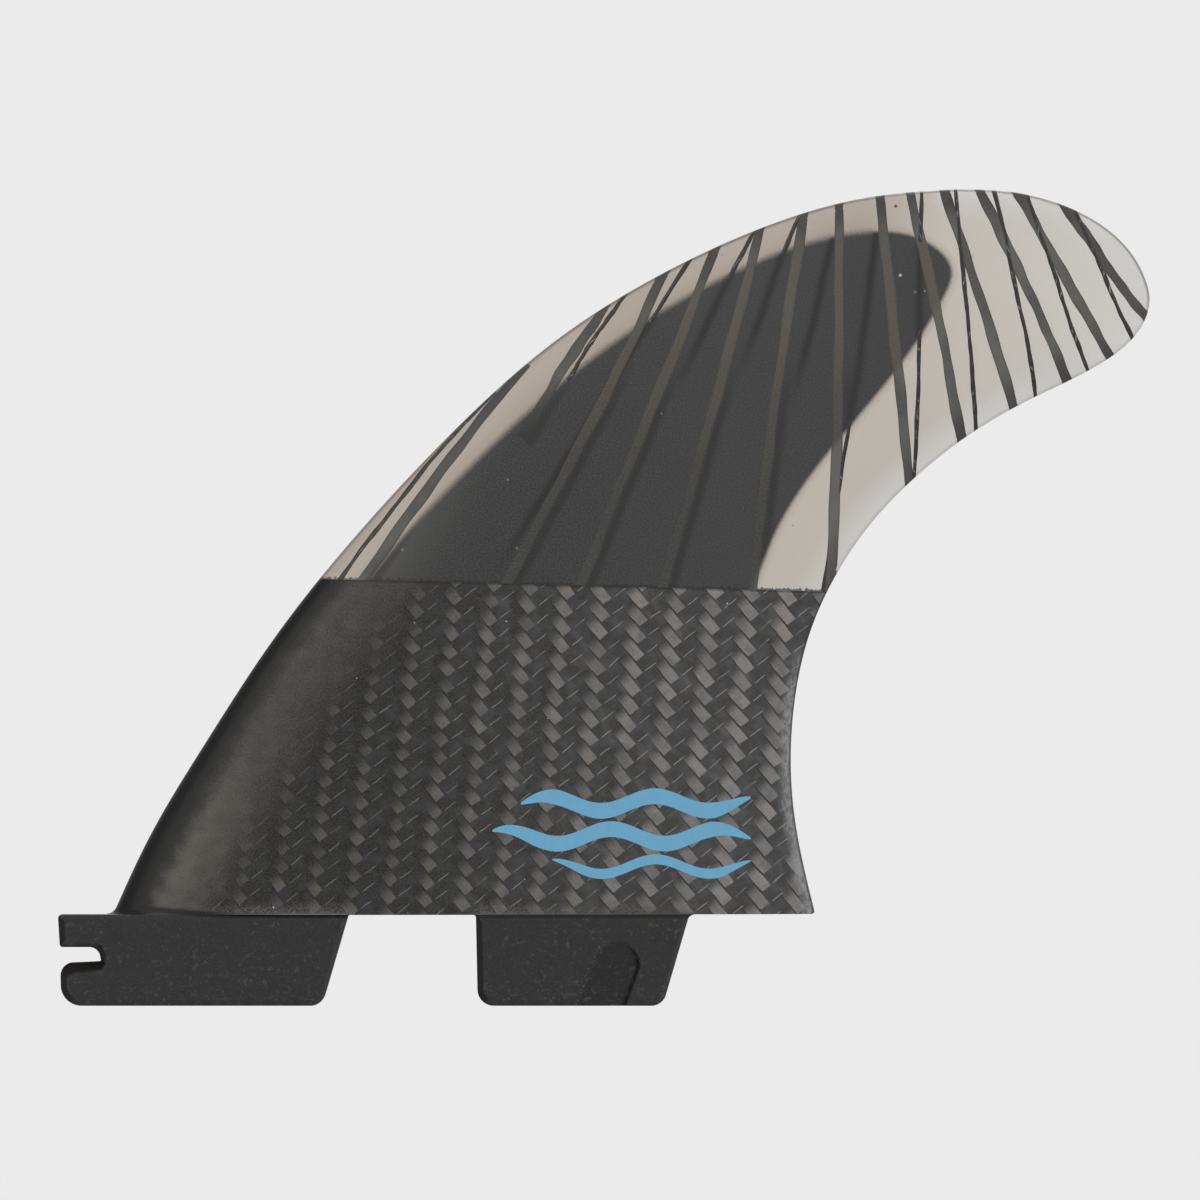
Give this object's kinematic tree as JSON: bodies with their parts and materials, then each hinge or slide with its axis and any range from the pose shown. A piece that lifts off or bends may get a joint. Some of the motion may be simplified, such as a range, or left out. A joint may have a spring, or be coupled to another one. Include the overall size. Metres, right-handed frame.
{
  "type": "surfboard side fin",
  "caption": "Swept side fin for a surfboard: cloth-covered foil with a see-through resin tip, foam core, carbon strands and push-in tabs.",
  "frame": {"origin": "middle of the blade's base line, half way through the thickness of the tabs, on the underside that sits on the board", "axes": "+X from the leading edge to the trailing edge, +Z from the board to the tip, -Y out of the rounded outer face, +Y out of the flat inner face"},
  "size_m": [0.1732, 0.0064, 0.1295],
  "materials": {
    "carbon_cloth": "satin twill-woven carbon cloth set in resin",
    "clear_resin": "milky see-through glass-fibre laminate",
    "core_foam": "dark pressed foam seen through the resin",
    "carbon_tow": "flat strands of carbon fibre in resin"
  },
  "bodies": {
    "root": {"carbon_base": "carbon_cloth", "glass_tip": "clear_resin", "foam_core": "core_foam", "carbon_strands": "carbon_tow"}
  },
  "joints": []
}
